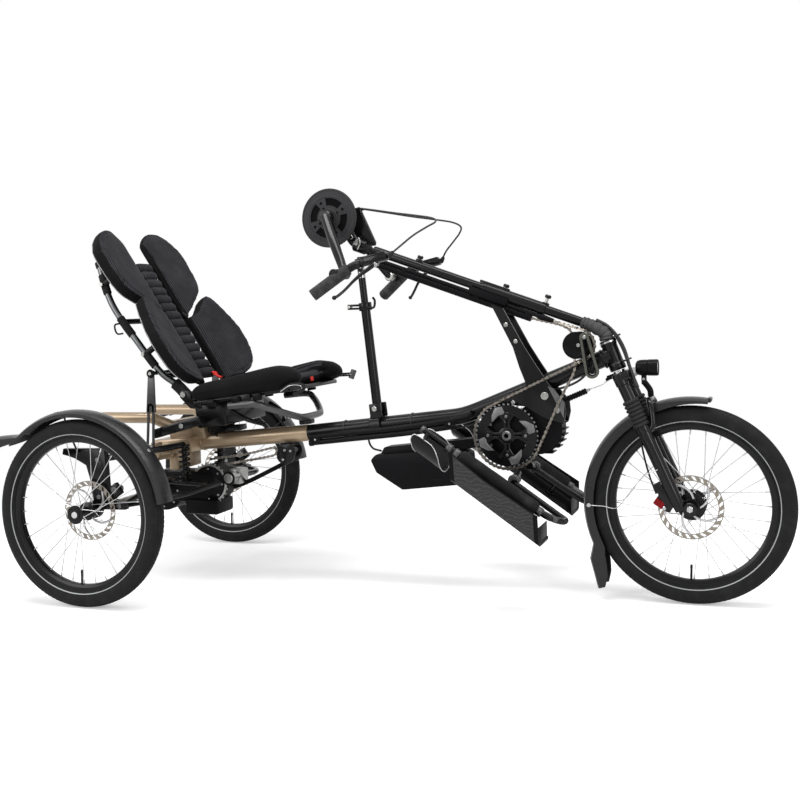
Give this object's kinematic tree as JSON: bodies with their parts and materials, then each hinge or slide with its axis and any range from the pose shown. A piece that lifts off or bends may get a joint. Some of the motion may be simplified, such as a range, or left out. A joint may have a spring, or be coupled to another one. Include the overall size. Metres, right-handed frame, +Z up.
{
  "type": "handbike",
  "caption": "Hand-cranked recumbent delta trike with a fabric seat, a long boom carrying the hand cranks, a mid motor, leg supports and mudguards.",
  "frame": {"origin": "on the floor under the middle of the whole machine's length and width", "axes": "+X towards the front wheel, +Y to the rider's left, +Z up"},
  "size_m": [2.038, 0.872, 1.101],
  "materials": {
    "gold_paint": "satin champagne gold paint",
    "black_paint": "satin black paint",
    "steel": "bright metal",
    "black_plastic": "moulded, fine grain",
    "tyre": "treaded, reflective stripe on the side",
    "rubber": "matt",
    "fabric": "black spacer mesh with pale piping",
    "chain_steel": "oiled chain"
  },
  "bodies": {
    "frame": {"main_frame": "black_paint", "rear_frame": "gold_paint", "boom": "black_paint", "chain_tubes": "black_plastic", "boom_bellows": "rubber", "right_boom_plate": "black_paint", "left_boom_plate": "black_paint", "post_clamp": "black_paint", "post_lower_tube": "black_paint", "post_upper_tube": "black_paint", "motor": "black_plastic", "battery": "black_plastic", "idler": "black_paint", "rear_drive": "black_plastic", "chain_guide": "black_plastic", "rear_chain_tubes": "black_plastic", "front_chain": "chain_steel", "rear_chain": "chain_steel", "right_suspension": "black_paint", "right_rear_guard": "black_plastic", "right_leg_support": "black_paint", "right_foot_trough": "black_plastic", "left_suspension": "black_paint", "left_rear_guard": "black_plastic", "left_leg_support": "black_paint", "left_foot_trough": "black_plastic", "seat_cushion": "fabric", "seat_frame": "black_paint", "seat_mount": "black_paint"},
    "front_wheel": {"front_tyre": "tyre", "front_wheel": "black_paint"},
    "right_rear_wheel": {"right_rear_tyre": "tyre", "right_rear_wheel": "black_paint"},
    "left_rear_wheel": {"left_rear_tyre": "tyre", "left_rear_wheel": "black_paint"},
    "fork": {"fork": "black_paint", "right_fork_bellows": "rubber", "left_fork_bellows": "rubber", "front_guard": "black_plastic", "headlight": "black_plastic"},
    "crank_head": {"crank_head": "black_paint", "right_brake_hose": "rubber", "left_brake_hose": "rubber"},
    "cranks": {"cranks": "black_paint", "crank_guard": "black_plastic"},
    "right_handle": {"right_handle": "black_plastic"},
    "left_handle": {"left_handle": "black_plastic"},
    "motor_ring": {"motor_ring": "black_paint"},
    "backrest": {"back_frame": "black_paint", "spine_pad": "fabric", "right_upper_back_pad": "fabric", "right_lower_back_pad": "fabric", "left_upper_back_pad": "fabric", "left_lower_back_pad": "fabric"},
    "recline_bars": {"recline_bars": "black_paint"}
  },
  "joints": [
    {"name": "front_wheel_spin", "type": "hinge", "parent": "fork", "child": "front_wheel", "pos_m": [0.769, 0, 0.25], "axis": [0, 1, 0], "continuous": true},
    {"name": "right_rear_wheel_spin", "type": "hinge", "parent": "frame", "child": "right_rear_wheel", "pos_m": [-0.767, -0.405, 0.25], "axis": [0, 1, 0], "continuous": true},
    {"name": "left_rear_wheel_spin", "type": "hinge", "parent": "frame", "child": "left_rear_wheel", "pos_m": [-0.767, 0.405, 0.25], "axis": [0, 1, 0], "continuous": true},
    {"name": "fork_steer", "type": "hinge", "parent": "frame", "child": "fork", "pos_m": [0.594, 0, 0.591], "axis": [-0.3419, 0, 0.9397], "range_deg": [-30, 30]},
    {"name": "crank_head_turn", "type": "hinge", "parent": "frame", "child": "crank_head", "pos_m": [-0.077, 0, 0.9313], "axis": [-0.9368, 0, 0.3498], "range_deg": [-30, 30]},
    {"name": "crank_spin", "type": "hinge", "parent": "crank_head", "child": "cranks", "pos_m": [-0.179, 0, 1.02], "axis": [0, 1, 0], "continuous": true, "deforming": ["right_brake_hose", "left_brake_hose"]},
    {"name": "right_handle_spin", "type": "hinge", "parent": "cranks", "child": "right_handle", "pos_m": [-0.086, -0.23, 0.85892], "axis": [0, 1, 0], "continuous": true},
    {"name": "left_handle_spin", "type": "hinge", "parent": "cranks", "child": "left_handle", "pos_m": [-0.086, 0.23, 0.85892], "axis": [0, 1, 0], "continuous": true},
    {"name": "motor_ring_spin", "type": "hinge", "parent": "frame", "child": "motor_ring", "pos_m": [0.308, 0, 0.425], "axis": [0, 1, 0], "continuous": true},
    {"name": "backrest_recline", "type": "hinge", "parent": "frame", "child": "backrest", "pos_m": [-0.587, 0, 0.545], "axis": [0, 1, 0], "range_deg": [-12, 4]},
    {"name": "recline_bar_swing", "type": "hinge", "parent": "backrest", "child": "recline_bars", "pos_m": [-0.682, 0, 0.605], "axis": [0, 1, 0], "range_deg": [-9, 9]}
  ],
  "couplings": [
    {"joint": "crank_head_turn", "follows": "fork_steer", "ratio": 1},
    {"joint": "right_handle_spin", "follows": "crank_spin", "ratio": -1},
    {"joint": "left_handle_spin", "follows": "crank_spin", "ratio": -1},
    {"joint": "motor_ring_spin", "follows": "crank_spin", "ratio": 1},
    {"joint": "recline_bar_swing", "follows": "backrest_recline", "ratio": -0.713}
  ]
}
